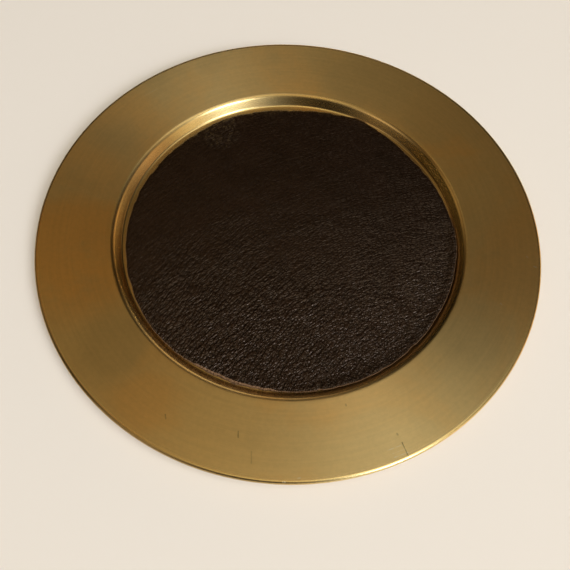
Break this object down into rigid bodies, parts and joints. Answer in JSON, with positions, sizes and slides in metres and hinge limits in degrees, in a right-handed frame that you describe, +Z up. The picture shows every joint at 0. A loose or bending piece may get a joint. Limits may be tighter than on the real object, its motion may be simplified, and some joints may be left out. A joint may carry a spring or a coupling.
{
  "type": "offering plate",
  "caption": "Round shallow spun brass offering plate with a broad gently rising rim, turned-down edge and a dark brown leather disc cemented into its well.",
  "frame": {"origin": "centre of the flat underside of the well floor, on the surface that the plate stands on", "axes": "+Z up along the plate's axis of rotation; the near side in the usual view is -Y, and +X is to the right"},
  "size_m": [0.305, 0.305, 0.0117],
  "materials": {
    "satin_brass": "circumferentially brushed satin, unlacquered and lightly tarnished",
    "contact_cement": "dried amber contact cement",
    "brown_leather": "semi-gloss full-grain leather with raw tan cut edge"
  },
  "bodies": {
    "root": {"brass_plate": "satin_brass", "cement_film": "contact_cement", "leather_inset": "brown_leather"}
  },
  "joints": []
}
